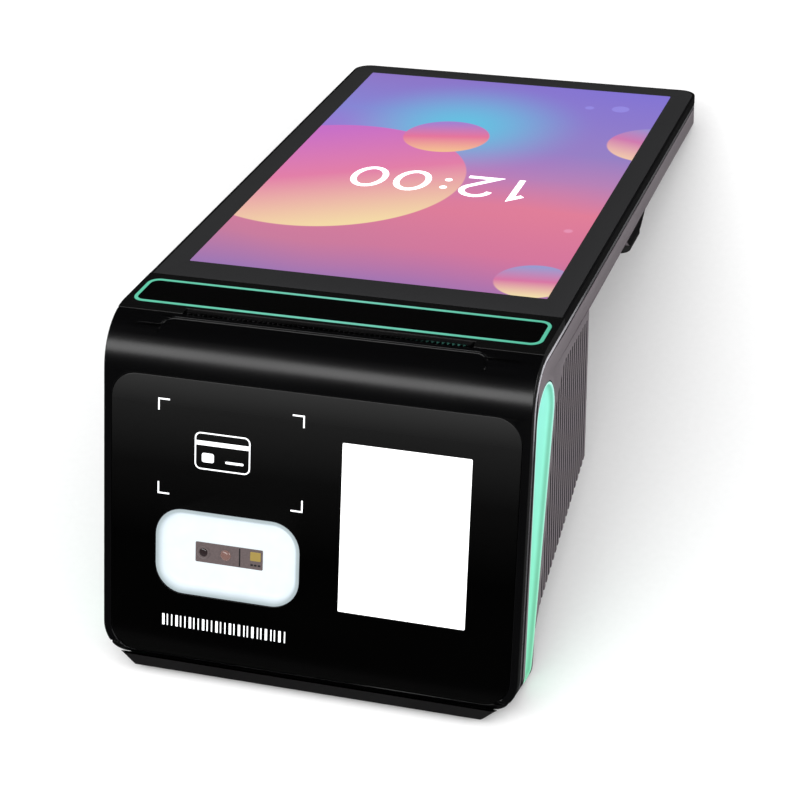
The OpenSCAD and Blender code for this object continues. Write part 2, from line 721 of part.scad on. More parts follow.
scan_s = 65.2;                            // middle of the scanner window, down the front
scan_w = 43.2;
scan_h = 25.2;
lcd_s = 51.6;                             // middle of the small screen, down the front
lcd_w = 36.7;
lcd_h = 49;
glass_mid = (glass_top + glass_foot) / 2;
module at_front(x, s, d) {
  on_front() translate([x, -s, -d]) children();
}
module front_shell() {
  color([0.03, 0.03, 0.035]) difference() {
    union() {
      intersection() {
        union() {
          across(body_w) intersection() {
            band(0, skin);
            door_side();
            polygon([front(hinge_s, -9), front(hinge_s, 9), front(-40, 40), disp(-60, 60)]);
          }
          for (side = [-1, 1]) across(skin, side * (half_w - skin / 2)) intersection() {
            band(0, door_t);
            door_side();
            polygon([front(hinge_s, -9), front(hinge_s, 9), front(0, 90), disp(-60, 60)]);
          }
          across(body_w - 2 * wall - 0.4) difference() {
            translate(front(hinge_s, hinge_d)) circle(hinge_d);
            translate(front(hinge_s, hinge_d)) circle(hinge_d - skin);
            polygon([front(hinge_s, -20), front(hinge_s, 20), front(60, 20), front(60, -20)]);
            polygon([front(60, hinge_d + 1.6), front(120, hinge_d + 1.6), front(120, 30),
              front(60, 30)]);
          }
        }
        envelope();
      }
      for (x = door_knuckles) {
        bar(front(hinge_s, hinge_d), 2.2, 10, x);
        across(10, x) polygon([front(hinge_s - 8, skin - 0.2), front(hinge_s - 8, 5),
          front(hinge_s, hinge_d + 2.1), front(hinge_s + 0.6, skin - 0.6)]);
      }
    }
    at_front(0, glass_mid, 1.15) linear_extrude(height = 4)
      rounded(glass_w + 0.2, glass_foot - glass_top + 0.2, 7.6);
    at_front(lcd_x, lcd_s, 5) linear_extrude(height = 8)
      rounded(lcd_w + 6.4, lcd_h + 12.4, 1);
    at_front(scan_x, scan_s, 5) linear_extrude(height = 8)
      rounded(scan_w + 3, scan_h + 3, 9.4);
    scoop();
    bar(front(hinge_s, hinge_d), hinge_r, 120);
    for (x = base_knuckles) {
      bar(front(hinge_s, hinge_d), 2.4, 10.6, x);
      across(10.6, x) polygon([front(93, 1.2), front(93, 9), front(100, 9), front(100, 1.2)]);
    }
  }
}
// Shallow hollow in the rounded edge, just in front of the paper slot.
scoop_w = 94;
module scoop() {
  on_display() translate([0, 8.3, -1.6]) rotate([25.7, 0, 0]) linear_extrude(height = 6)
    translate([0, -10]) rounded(scoop_w, 20, 3.5);
}
module front_glass() {
  color([0.06, 0.06, 0.065]) at_front(0, glass_mid, 1.15) linear_extrude(height = 1)
    rounded(glass_w, glass_foot - glass_top, 7.5);
}
module customer_lcd() {
  color([0.95, 0.96, 0.98]) at_front(lcd_x, lcd_s, 3.7) linear_extrude(height = 2.5)
    rounded(lcd_w + 6, lcd_h + 12, 0.8);
}
module scan_tray() {
  color([0.9, 0.93, 0.95]) difference() {
    at_front(scan_x, scan_s, 6) linear_extrude(height = 4.8) rounded(scan_w + 2.6, scan_h + 2.6, 9.2);
    at_front(scan_x, scan_s, 4.8) linear_extrude(height = 6) rounded(scan_w, scan_h, 8.2);
    at_front(scan_x, scan_s, 8) linear_extrude(height = 6) rounded(20.4, 6.1, 0.4);
  }
}
module scanner_module() {
  color([0.12, 0.1, 0.12]) {
    at_front(scan_x, scan_s, 6.05) linear_extrude(height = 4) rounded(20.2, 5.9, 0.3);
    at_front(scan_x, scan_s, 11.6) linear_extrude(height = 5.55) rounded(25, 14, 1);
  }
}
module scanner_lenses() {
  color([0.5, 0.45, 0.5]) {
    at_front(scan_x - 7.6, scan_s, 2.04) cylinder(h = 0.5, r = 1.7);
    at_front(scan_x - 1, scan_s, 2.04) cylinder(h = 0.5, r = 1.5);
    at_front(scan_x + 7.6, scan_s, 2.04) linear_extrude(height = 0.4) rounded(3.6, 2.8, 0.4);
  }
}
module payment_antenna() {
  color([0.1, 0.35, 0.22]) at_front(scan_x, 34.2, 3.15) linear_extrude(height = 0.9)
    rounded(42, 26, 2);
}
module door_board() {
  color([0.06, 0.3, 0.18]) at_front(lcd_x - 4, lcd_s, 4.9) linear_extrude(height = 1.2)
    rounded(46, 58, 1.5);
}
boss_places = [[-52.4, 30], [52.4, 30], [-52.4, 81], [52.4, 81]];
module boss_axes(d) {
  for (p = boss_places) at_front(p[0], p[1], d) children();
}
liner_top = 18.8;                         // the liner's ends, down the front
liner_foot = 86.6;
liner_d = 13.2;                           // its back, behind the front plane
liner_t = 1.4;
module liner_plan(o, d, h) {
  at_front(0, (liner_top + liner_foot) / 2, d) linear_extrude(height = h)
    rounded(112 - 2 * o, liner_foot - liner_top - 2 * o, 3 - o);
}
module door_liner() {
  arm_x = 44.55;
  color([0.1, 0.1, 0.11]) difference() {
    union() {
      difference() {
        liner_plan(0, liner_d, liner_d - skin - 0.02);
        liner_plan(1.2, liner_d - liner_t, 20);
      }
      boss_axes(liner_d - 0.2) cylinder(h = liner_d - skin - 0.22, r = 2.8);
      on_display() for (side = [-1, 1]) across(1.9, side * arm_x)
        taper([platen_y, platen_z], 4.4, [4.6, -27], 4);
      for (side = [-1, 1]) across(1.9, side * arm_x) polygon([front(19.4, 6), front(19.4, 12.6),
        front(32, 12.6), front(27, 6)]);
    }
    on_display() across(100) translate([platen_y, platen_z]) circle(2.9);
    on_display() across(5, gear_x) translate([idler_y, idler_z]) circle(9.4);
    boss_axes(20) cylinder(h = 15, r = 1.1);
  }
}
module door_screws() {
  color([0.5, 0.5, 0.52]) boss_axes(liner_d + 1.2) {
    cylinder(h = 1.2, r = 2.1);
    cylinder(h = 9, r = 1.05);
  }
}
module hinge_pin() {
  color([0.7, 0.7, 0.72]) bar(front(hinge_s, hinge_d), hinge_r, 100);
}
module side_button(y) {
  on_display() translate([-half_w - 0.7, y, button_z]) rotate([0, 90, 0]) {
    linear_extrude(height = 3.2) button_plan(0);
    translate([0, 0, 3.15]) linear_extrude(height = 0.8) button_plan(0.4);
  }
}
module power_button() {
  color([0.3, 0.3, 0.32]) side_button(button_y[0]);
}
module volume_up_button() {
  color([0.3, 0.3, 0.32]) side_button(button_y[1]);
}
module volume_down_button() {
  color([0.3, 0.3, 0.32]) side_button(button_y[2]);
}

main_housing();
mid_frame();
edge_trim();
touch_glass();
display_panel();
band_panel();
light_frame();
band_lens();
tear_bar();
base_cover();
leg_foot();
display_feet();
side_pads();
light_inserts();
led_boards();
main_board();
board_shield();
speaker();
network_socket();
usb_sockets();
power_socket();
display_cable();
housing_screws();
base_screws();
roll_cradle();
paper_roll();
paper_core();
printer_frame();
print_head();
head_springs();
head_pin();
paper_sensor();
bush_clips();
idler_gear();
idler_pin();
stepper_motor();
motor_pinion();
front_shell();
front_glass();
customer_lcd();
scan_tray();
scanner_module();
scanner_lenses();
payment_antenna();
door_board();
door_liner();
door_screws();
hinge_pin();
platen_bushes();
platen_roller();
platen_shaft();
platen_gear();
power_button();
volume_up_button();
volume_down_button();
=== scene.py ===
import json
import math

import bmesh
import bpy
from mathutils import Matrix, Vector

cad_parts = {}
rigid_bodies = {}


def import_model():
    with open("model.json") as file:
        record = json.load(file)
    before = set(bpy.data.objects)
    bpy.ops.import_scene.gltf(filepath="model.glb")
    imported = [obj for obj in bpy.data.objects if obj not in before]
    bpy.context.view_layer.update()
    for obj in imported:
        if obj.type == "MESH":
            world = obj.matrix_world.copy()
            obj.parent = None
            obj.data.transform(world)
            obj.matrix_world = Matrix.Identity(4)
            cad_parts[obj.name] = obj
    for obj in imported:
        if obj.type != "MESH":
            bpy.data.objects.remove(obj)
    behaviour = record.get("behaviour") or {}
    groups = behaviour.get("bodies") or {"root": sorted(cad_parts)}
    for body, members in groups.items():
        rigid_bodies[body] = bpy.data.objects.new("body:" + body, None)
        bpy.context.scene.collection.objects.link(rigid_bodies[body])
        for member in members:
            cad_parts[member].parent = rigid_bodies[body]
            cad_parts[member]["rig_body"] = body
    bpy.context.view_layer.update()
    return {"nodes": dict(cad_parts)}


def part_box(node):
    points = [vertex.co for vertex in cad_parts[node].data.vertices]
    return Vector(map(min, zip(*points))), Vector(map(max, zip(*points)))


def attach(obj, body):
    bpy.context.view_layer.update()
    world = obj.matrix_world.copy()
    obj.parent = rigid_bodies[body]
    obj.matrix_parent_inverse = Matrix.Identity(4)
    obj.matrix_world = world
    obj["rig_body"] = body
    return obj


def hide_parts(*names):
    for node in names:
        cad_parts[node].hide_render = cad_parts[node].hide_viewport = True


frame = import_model()

MM = 0.001
SCALE = Matrix.Scale(MM, 4)


# ---------------------------------------------------------------- places

def widest_plane(node, towards):
    """Normal and offset of the plane that holds most of a node's surface facing a direction."""
    groups = {}
    for face in frame["nodes"][node].data.polygons:
        if face.normal.dot(towards) > 0.95:
            offset = face.normal.dot(face.center)
            key = (round(face.normal.y, 2), round(offset, 4))
            total = groups.setdefault(key, [0.0, Vector(), 0.0])
            total[0] += face.area
            total[1] += face.normal * face.area
            total[2] += offset * face.area
    area, normal, offset = max(groups.values(), key=lambda total: total[0])
    return normal.normalized(), offset / area


def face_frame(normal, origin):
    """Matrix of a face: x to the right, y up the face, z out of it."""
    right = Vector((1, 0, 0))
    rows = Matrix((right, normal.cross(right), normal)).transposed()
    return Matrix.Translation(origin) @ rows.to_4x4()


GLASS_SINK = 0.15 * MM                    # the front glass lies this far below its frame
display_normal, display_level = widest_plane("touch_glass", Vector((0, 0.35, 0.94)))
front_normal, glass_level = widest_plane("front_glass", Vector((0, -0.85, 0.53)))
front_level = glass_level + GLASS_SINK
planes = Matrix((display_normal.yz, front_normal.yz))
edge_yz = planes.inverted() @ Vector((display_level, front_level))
edge = Vector((0, edge_yz.x, edge_yz.y))  # where the display and front planes meet
DISPLAY = face_frame(display_normal, edge)
FRONT = face_frame(front_normal, edge)


def size_on(node, matrix):
    """Lowest and highest corners of a node, in millimetres, in a face's own directions."""
    back = matrix.inverted()
    points = [back @ v.co / MM for v in frame["nodes"][node].data.vertices]
    return (Vector(min(p[i] for p in points) for i in range(3)),
            Vector(max(p[i] for p in points) for i in range(3)))


# ---------------------------------------------------------------- materials

def shader(name):
    """A new material, its nodes, their links, and its main shader node."""
    material = bpy.data.materials.new(name)
    material.use_nodes = True
    nodes = material.node_tree.nodes
    return material, nodes, material.node_tree.links, nodes["Principled BSDF"]


def noise(nodes, links, size, detail=4.0, stretch=(1, 1, 1)):
    """Noise in the object's own space, with features of about the given size in millimetres."""
    place = nodes.new("ShaderNodeTexCoord")
    mapping = nodes.new("ShaderNodeMapping")
    mapping.inputs["Scale"].default_value = [k / (size * MM) for k in stretch]
    texture = nodes.new("ShaderNodeTexNoise")
    texture.inputs["Scale"].default_value = 1.0
    texture.inputs["Detail"].default_value = detail
    links.new(place.outputs["Object"], mapping.inputs["Vector"])
    links.new(mapping.outputs["Vector"], texture.inputs["Vector"])
    return texture.outputs["Fac"]


def remap(nodes, links, value, start, end, low=0.0, high=1.0, smooth_step=False):
    """The value rescaled, so that start becomes low and end becomes high, and held outside."""
    node = nodes.new("ShaderNodeMapRange")
    if smooth_step:
        node.interpolation_type = "SMOOTHSTEP"
    for name, number in (("From Min", start), ("From Max", end), ("To Min", low),
                         ("To Max", high)):
        node.inputs[name].default_value = number
    links.new(value, node.inputs["Value"])
    return node.outputs["Result"]


def spread(nodes, links, value, low, high):
    """Noise, which mostly lies between 0.3 and 0.7, rescaled to fill low to high."""
    return remap(nodes, links, value, 0.3, 0.7, low, high)


def blend_colours(nodes, links, factor, a, b, blend_type="MIX"):
    """Colour a, turning to b as the factor goes to 1; each is a colour or a node's output."""
    mix = nodes.new("ShaderNodeMix")
    mix.data_type = "RGBA"
    mix.blend_type = blend_type
    links.new(factor, mix.inputs["Factor"])
    for socket, value in (("A", a), ("B", b)):
        if isinstance(value, (list, tuple)):
            mix.inputs[socket].default_value = list(value) + [1]
        else:
            links.new(value, mix.inputs[socket])
    return mix.outputs["Result"]


def object_axis(nodes, links, axis):
    """One of the object's own coordinates, in metres."""
    place = nodes.new("ShaderNodeTexCoord")
    axes = nodes.new("ShaderNodeSeparateXYZ")
    links.new(place.outputs["Object"], axes.inputs["Vector"])
    return axes.outputs[axis]


def math_node(nodes, links, operation, *values):
    """A sum between numbers or nodes' outputs."""
    node = nodes.new("ShaderNodeMath")
    node.operation = operation
    for socket, value in zip(node.inputs, values):
        if isinstance(value, (int, float)):
            socket.default_value = value
        else:
            links.new(value, socket)
    return node.outputs["Value"]


def vector_math(nodes, links, operation, vector, other, output="Value"):
    """A vector operation between a node's output and a fixed vector."""
    node = nodes.new("ShaderNodeVectorMath")
    node.operation = operation
    node.inputs[1].default_value = other
    links.new(vector, node.inputs[0])
    return node.outputs[output]


def surface(name, colour, rough=0.5, metal=0.0, coat=0.0, grain=0.3, bump=0.02, tint=0.05,
            vary=0.06, stretch=(1, 1, 1), specular=0.5, patch=18.0, glow=None, strength=0.0):
    """A moulded, painted or metal finish: fine grain in the bump, broad patches in the roughness."""
    material, nodes, links, body = shader(name)
    fine = noise(nodes, links, grain, stretch=stretch)
    broad = noise(nodes, links, patch, detail=3.0)
    speckled = blend_colours(nodes, links, spread(nodes, links, fine, 0, 1),
                             [c * (1 - tint) for c in colour],
                             [min(1, c * (1 + tint)) for c in colour])
    links.new(speckled, body.inputs["Base Color"])
    links.new(spread(nodes, links, broad, max(0, rough - vary), rough + vary),
              body.inputs["Roughness"])
    relief = nodes.new("ShaderNodeBump")
    relief.inputs["Strength"].default_value = 1.0
    relief.inputs["Distance"].default_value = bump * MM
    links.new(fine, relief.inputs["Height"])
    links.new(relief.outputs["Normal"], body.inputs["Normal"])
    body.inputs["Metallic"].default_value = metal
    body.inputs["Coat Weight"].default_value = coat
    body.inputs["Coat Roughness"].default_value = 0.06
    body.inputs["Specular IOR Level"].default_value = specular
    if glow:
        body.inputs["Emission Color"].default_value = list(glow) + [1]
        body.inputs["Emission Strength"].default_value = strength
    return material


def srgb(*values):
    """Linear colour from 0-255 display values."""
    return [(v / 255 / 12.92) if v <= 10 else ((v / 255 + 0.055) / 1.055) ** 2.4 for v in values]


GREY_METAL = surface("grey_metal", srgb(136, 128, 133), rough=0.42, metal=0.3, grain=0.12,
                     bump=0.010, tint=0.05, patch=30)
BLACK_FRAME = surface("black_frame", srgb(14, 14, 15), rough=0.5, grain=0.25, bump=0.012,
                      specular=0.15)
BLACK_BASE = surface("black_base", srgb(15, 14, 15), rough=0.42, grain=0.35, bump=0.02)
BRIGHT_TRIM = surface("bright_trim", srgb(206, 204, 210), rough=0.25, metal=0.1, grain=0.08,
                      bump=0.004, stretch=(8, 0.3, 0.3))
BEZEL = surface("bezel_glass", srgb(43, 43, 44), rough=0.4, grain=0.4, bump=0.0008, tint=0.02,
                specular=0.1, patch=40)
BLACK_GLOSS = surface("black_gloss", srgb(4, 4, 5), rough=0.24, grain=0.5, bump=0.0012,
                      vary=0.02, patch=35)
BAND_GLOSS = surface("band_gloss", srgb(12, 12, 12), rough=0.22, grain=0.5, bump=0.001, vary=0.03)
LENS_BLACK = surface("lens_black", srgb(3, 3, 3), rough=0.12, grain=0.5, bump=0.0006, vary=0.02,
                     specular=0.3)
# The printed marks also glow a little: painted light, which keeps the white print bright.
PRINT_WHITE_GLOW = surface("print_white_glow", srgb(236, 238, 240), rough=0.5, grain=0.1, bump=0.002,
                      glow=(1, 1, 1), strength=0.55)
STEEL = surface("steel", srgb(172, 172, 176), rough=0.3, metal=0.45, grain=0.06, bump=0.004,
                stretch=(0.2, 4, 4))
TEETH_STEEL = surface("teeth_steel", srgb(170, 168, 170), rough=0.2, metal=1.0, grain=0.1,
                      bump=0.004)
RUBBER = surface("rubber", srgb(22, 22, 22), rough=0.75, grain=0.12, bump=0.03, vary=0.1)
ROLLER_RUBBER = surface("roller_rubber", srgb(26, 26, 28), rough=0.6, grain=0.1, bump=0.01,
                        stretch=(4, 1, 1))
CIRCUIT = surface("circuit_board", srgb(18, 88, 52), rough=0.35, grain=1.6, bump=0.03, tint=0.35,
                  coat=0.3, patch=6)
DARK_PLASTIC = surface("dark_plastic", srgb(28, 28, 30), rough=0.5, grain=0.2, bump=0.015)
FLEX = surface("flex_cable", srgb(196, 118, 38), rough=0.35, grain=0.8, bump=0.01, tint=0.15,
               stretch=(6, 0.4, 0.4))
PAPER = surface("paper", srgb(240, 239, 234), rough=0.8, grain=0.15, bump=0.012, tint=0.02)
CORE = surface("core_board", srgb(164, 132, 92), rough=0.85, grain=0.4, bump=0.05, tint=0.12)
GEAR_PLASTIC = surface("gear_plastic", srgb(226, 224, 212), rough=0.45, grain=0.3, bump=0.01)
BRASS = surface("brass", srgb(206, 168, 96), rough=0.28, metal=1.0, grain=0.1, bump=0.004)
BUTTON_METAL = surface("button_metal", srgb(96, 94, 98), rough=0.32, metal=0.8, grain=0.1,
                       bump=0.006)
# The scan engine's body and the glass of its lenses glow faintly though they are no lamps: painted
# light.
SCAN_BROWN = surface("scan_brown", srgb(78, 66, 66), rough=0.4, grain=0.5, bump=0.02, tint=0.2,
                     glow=(0.5, 0.42, 0.42), strength=0.12)
LENS_GLASS = surface("lens_glass", srgb(30, 22, 24), rough=0.06, grain=0.4, bump=0.001,
                     coat=1.0, glow=(0.3, 0.22, 0.22), strength=0.05)
PINK_GLASS = surface("pink_glass", srgb(112, 84, 78), rough=0.12, grain=0.4, bump=0.002,
                     coat=1.0, glow=(0.5, 0.3, 0.26), strength=0.08)
GOLD = surface("gold", srgb(172, 146, 74), rough=0.3, metal=0.5, grain=0.2, bump=0.006,
               glow=(0.7, 0.55, 0.2), strength=0.2)
LINER = surface("door_liner", srgb(34, 34, 36), rough=0.5, grain=0.3, bump=0.02)


# ---------------------------------------------------------------- shapes

def smooth(mesh, angle=32):
    mesh.shade_smooth()
    mesh.set_sharp_from_angle(angle=math.radians(angle))


def add_piece(name, mesh, body, material, replaces=()):
    """Adds a visible piece that moves with a body; it may stand for CAD nodes."""
    piece = bpy.data.objects.new(name, mesh)
    bpy.context.scene.collection.objects.link(piece)
    mesh.materials.clear()
    mesh.materials.append(material)
    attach(piece, body)
    if replaces:
        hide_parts(*replaces)
    return piece


def rounded(w, h, r, cx=0.0, cy=0.0, steps=10):
    """Outline of a rounded rectangle, anticlockwise."""
    points = []
    for quarter, (sx, sy) in enumerate(((1, 1), (-1, 1), (-1, -1), (1, -1))):
        for i in range(steps + 1):
            a = math.radians(90 * quarter + 90 * i / steps)
            points.append((cx + sx * (w / 2 - r) + r * math.cos(a),
                           cy + sy * (h / 2 - r) + r * math.sin(a)))
    return points


def plate_mesh(name, outlines, z0, z1, matrix, round_off=0.2):
    """A plate with rounded-off edges; later outlines inside the first are holes."""
    curve = bpy.data.curves.new(name, "CURVE")
    curve.dimensions = "2D"
    curve.fill_mode = "BOTH"
    for outline in outlines:
        spline = curve.splines.new("POLY")
        spline.points.add(len(outline) - 1)
        for point, (x, y) in zip(spline.points, outline):
            point.co = (x, y, 0, 1)
        spline.use_cyclic_u = True
    curve.extrude = (z1 - z0) / 2 - round_off
    curve.bevel_depth = round_off
    curve.bevel_resolution = 2
    curve.offset = -round_off
    holder = bpy.data.objects.new(name, curve)
    bpy.context.scene.collection.objects.link(holder)
    graph = bpy.context.evaluated_depsgraph_get()
    mesh = bpy.data.meshes.new_from_object(holder.evaluated_get(graph))
    bpy.data.objects.remove(holder)
    bm = bmesh.new()
    bm.from_mesh(mesh)
    bmesh.ops.remove_doubles(bm, verts=bm.verts, dist=0.002)
    bmesh.ops.recalc_face_normals(bm, faces=bm.faces)
    places = bm.loops.layers.uv.new("place")
    for face in bm.faces:
        for loop in face.loops:
            loop[places].uv = loop.vert.co.xy
    bm.to_mesh(mesh)
    bm.free()
    mesh.transform(matrix @ Matrix.Translation((0, 0, (z0 + z1) / 2 * MM)) @ SCALE)
    smooth(mesh)
    return mesh


def plate(name, outlines, z0, z1, matrix, body, material, round_off=0.2, replaces=()):
    mesh = plate_mesh(name, outlines, z0, z1, matrix, round_off)
    return add_piece(name, mesh, body, material, replaces)


def node_body(node):
    return frame["nodes"][node]["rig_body"]


def finished(node, material, radius, inward_above, angle=35):
    """A copy of a node with its hard edges rounded off; it stands for the node.

    Inward edges lower than inward_above stay sharp, so the hinge keeps its clearance.
    """
    mesh = frame["nodes"][node].data.copy()
    bm = bmesh.new()
    bm.from_mesh(mesh)
    bmesh.ops.remove_doubles(bm, verts=bm.verts, dist=1e-6)
    bmesh.ops.dissolve_limit(bm, angle_limit=math.radians(0.6), verts=bm.verts, edges=bm.edges)
    weight = bm.edges.layers.float.new("bevel_weight_edge")
    for line in bm.edges:
        bend = math.degrees(line.calc_face_angle_signed(0))
        high_up = min(v.co.z for v in line.verts) > inward_above
        line[weight] = bend > angle or (bend < -angle and high_up)
    bm.to_mesh(mesh)
    bm.free()
    piece = add_piece(node + "_shell", mesh, node_body(node), material, (node,))
    smooth(mesh, angle)
    bevel = piece.modifiers.new("edges", "BEVEL")
    bevel.width = radius * MM
    bevel.segments = 2
    bevel.limit_method = "WEIGHT"
    bevel.use_clamp_overlap = False
    bevel.harden_normals = True
    return piece


# ---------------------------------------------------------------- dress the CAD nodes

NODE_MATERIALS = {
    "main_housing": GREY_METAL, "mid_frame": BLACK_FRAME, "edge_trim": BRIGHT_TRIM,
    "display_panel": BLACK_FRAME, "band_panel": BAND_GLOSS,
    "band_lens": LENS_BLACK, "tear_bar": TEETH_STEEL, "base_cover": BLACK_BASE,
    "leg_foot": RUBBER, "display_feet": RUBBER, "side_pads": RUBBER, "led_boards": CIRCUIT,
    "main_board": CIRCUIT, "board_shield": STEEL, "speaker": DARK_PLASTIC,
    "network_socket": STEEL, "usb_sockets": STEEL, "power_socket": DARK_PLASTIC,
    "display_cable": FLEX, "housing_screws": STEEL, "base_screws": STEEL,
    "roll_cradle": DARK_PLASTIC, "paper_roll": PAPER, "paper_core": CORE,
    "printer_frame": STEEL, "print_head": STEEL, "head_springs": STEEL, "head_pin": STEEL,
    "paper_sensor": DARK_PLASTIC, "bush_clips": STEEL, "idler_gear": GEAR_PLASTIC,
    "idler_pin": STEEL, "stepper_motor": STEEL, "motor_pinion": BRASS,
    "front_shell": BLACK_GLOSS, "customer_lcd": DARK_PLASTIC,
    "scanner_module": SCAN_BROWN,
    "payment_antenna": CIRCUIT, "door_board": CIRCUIT, "door_liner": LINER,
    "door_screws": STEEL, "hinge_pin": STEEL, "platen_bushes": BRASS,
    "platen_roller": ROLLER_RUBBER, "platen_shaft": STEEL, "platen_gear": GEAR_PLASTIC,
    "power_button": BUTTON_METAL, "volume_up_button": BUTTON_METAL,
    "volume_down_button": BUTTON_METAL,
}
for node, material in NODE_MATERIALS.items():
    part = frame["nodes"][node]
    part.data.materials.clear()
    part.data.materials.append(material)
    smooth(part.data)


# ---------------------------------------------------------------- shaded by place

def ramp(nodes, links, value, stops):
    """Colour ramp over 0 to 1."""
    node = nodes.new("ShaderNodeValToRGB")
    elements = node.color_ramp.elements
    while len(elements) < len(stops):
        elements.new(0.5)
    for element, (place, colour) in zip(elements, stops):
        element.position = place
        element.color = list(colour) + [1]
    links.new(value, node.inputs["Fac"])
    return node.outputs["Color"]


def plate_axes(nodes, links):
    """Place over a plate in millimetres: both together, then across it, then up it."""
    place = nodes.new("ShaderNodeUVMap")
    place.uv_map = "place"
    axes = nodes.new("ShaderNodeSeparateXYZ")
    links.new(place.outputs["UV"], axes.inputs["Vector"])
    return place.outputs["UV"], axes.outputs["X"], axes.outputs["Y"]


SHADE = "shade"                           # point attribute of painted shade that lit materials read


def front_glass_material():
    """Black glass with a painted reflection: its colour grows lighter towards its top edge."""
    material, nodes, links, body = shader("front_glass")
    up = plate_axes(nodes, links)[2]
    painted_reflection = remap(nodes, links, up, -62, -13)
    colour = ramp(nodes, links, painted_reflection, ((0.0, srgb(1, 1, 1)), (0.45, srgb(8, 8, 8)),
                                       (0.8, srgb(24, 24, 24)), (1.0, srgb(44, 44, 44))))
    links.new(colour, body.inputs["Base Color"])
    haze = noise(nodes, links, 45, detail=3.0)
    links.new(spread(nodes, links, haze, 0.14, 0.2), body.inputs["Roughness"])
    body.inputs["Specular IOR Level"].default_value = 0.35
    return material


def glow_spot(nodes, links, uv, colour, centre, radius, light):
    """A wide soft spot of light laid over a colour."""
    away = vector_math(nodes, links, "DISTANCE", uv, (*centre, 0))
    near = remap(nodes, links, away, radius, 0, smooth_step=True)
    return blend_colours(nodes, links, near, colour, light)


def picture_material(centre, width, length):
    """The lit wallpaper: a soft colour wash with a few pale-rimmed discs."""
    material, nodes, links, body = shader("picture")
    uv, x, y = plate_axes(nodes, links)
    sway = 14.0                           # how far the bands of colour wander, in millimetres
    ripple = math_node(nodes, links, "MULTIPLY_ADD", noise(nodes, links, 60, detail=1.0), sway, y)
    along = remap(nodes, links, ripple, centre[1] - length / 2 + sway / 2,
                  centre[1] + length / 2 + sway / 2)
    left = ramp(nodes, links, along, (
        (0.0, srgb(158, 120, 186)), (0.15, srgb(206, 126, 162)), (0.32, srgb(226, 126, 158)),
        (0.6, srgb(172, 112, 214)), (0.8, srgb(136, 134, 218)), (1.0, srgb(144, 118, 204))))
    right = ramp(nodes, links, along, (
        (0.0, srgb(172, 116, 180)), (0.15, srgb(220, 120, 160)), (0.36, srgb(232, 128, 156)),
        (0.5, srgb(188, 132, 188)), (0.64, srgb(154, 130, 202)), (1.0, srgb(132, 117, 218))))
    across = remap(nodes, links, x, centre[0] - width / 2, centre[0] + width / 2,
                   smooth_step=True)
    colour = blend_colours(nodes, links, across, left, right)
    colour = glow_spot(nodes, links, uv, colour, (-8, 170), 46, srgb(100, 198, 232))
    # Discs: centre and radius in millimetres, three colours, and the way from first to last.
    discs = (((-37, 119.5), 44, (srgb(206, 112, 204), srgb(233, 128, 172), srgb(252, 224, 172)),
              (0.45, -0.9)),
             ((-10, 160), 14.5, (srgb(168, 130, 214), srgb(236, 118, 160), srgb(252, 196, 150)),
              (0.2, -1)),
             ((58, 168), 15.5, (srgb(150, 150, 216), srgb(214, 124, 180), srgb(248, 204, 178)),
              (-0.3, -1)),
             ((47, 54), 11.5, (srgb(156, 160, 214), srgb(222, 120, 168), srgb(252, 234, 178)),
              (0.1, -1)),
             ((40, 199), 3.2, (srgb(152, 140, 232),) * 3, (0, 1)),
             ((29.5, 198), 1.8, (srgb(152, 140, 232),) * 3, (0, 1)),
             ((48, 92), 1.6, (srgb(238, 150, 184),) * 3, (0, 1)))
    soft_rim = 0.5
    for (cx, cy), radius, (deep, middle, pale), lean in discs:
        offset = vector_math(nodes, links, "SUBTRACT", uv, (cx, cy, 0), "Vector")
        away = vector_math(nodes, links, "DISTANCE", uv, (cx, cy, 0))
        inside = remap(nodes, links, away, radius, radius - soft_rim)
        tilt = vector_math(nodes, links, "DOT_PRODUCT", offset, (*lean, 0))
        shade = remap(nodes, links, tilt, -radius, radius)
        inner = ramp(nodes, links, shade, ((0.05, deep), (0.5, middle), (0.98, pale)))
        colour = blend_colours(nodes, links, inside, colour, inner)
    body.inputs["Base Color"].default_value = (0.01, 0.01, 0.01, 1)
    links.new(colour, body.inputs["Emission Color"])
    body.inputs["Emission Strength"].default_value = 0.92
    haze = noise(nodes, links, 40, detail=2.0)
    links.new(spread(nodes, links, haze, 0.3, 0.36), body.inputs["Roughness"])
    body.inputs["Specular IOR Level"].default_value = 0.2
    return material


def lit_material(name, stops, strength, height_span=None, low=None):
    """Lit plastic: colour by each point's painted shade, and tinted towards low down the object."""
    material, nodes, links, body = shader(name)
    shade = nodes.new("ShaderNodeAttribute")
    shade.attribute_name = SHADE
    colour = ramp(nodes, links, shade.outputs["Fac"], stops)
    if height_span:
        bottom, top = height_span
        down = remap(nodes, links, object_axis(nodes, links, "Z"), top, bottom)
        colour = blend_colours(nodes, links, down, colour, low, "MULTIPLY")
    links.new(colour, body.inputs["Emission Color"])
    body.inputs["Base Color"].default_value = (0.12, 0.16, 0.15, 1)
    grain = noise(nodes, links, 4.0)
    links.new(spread(nodes, links, grain, strength * 0.97, strength * 1.03),
              body.inputs["Emission Strength"])
    body.inputs["Roughness"].default_value = 0.4
    return material


# ---------------------------------------------------------------- outlines

def slab_outline(low, high, radius, steps=8):
    """A rectangle whose two far corners are rounded."""
    points = [(low.x, low.y), (high.x, low.y)]
    for side, start in ((1, 0), (-1, 90)):
        cx = high.x - radius if side == 1 else low.x + radius
        for i in range(steps + 1):
            a = math.radians(start + 90 * i / steps)
            points.append((cx + radius * math.cos(a), high.y - radius + radius * math.sin(a)))
    return points


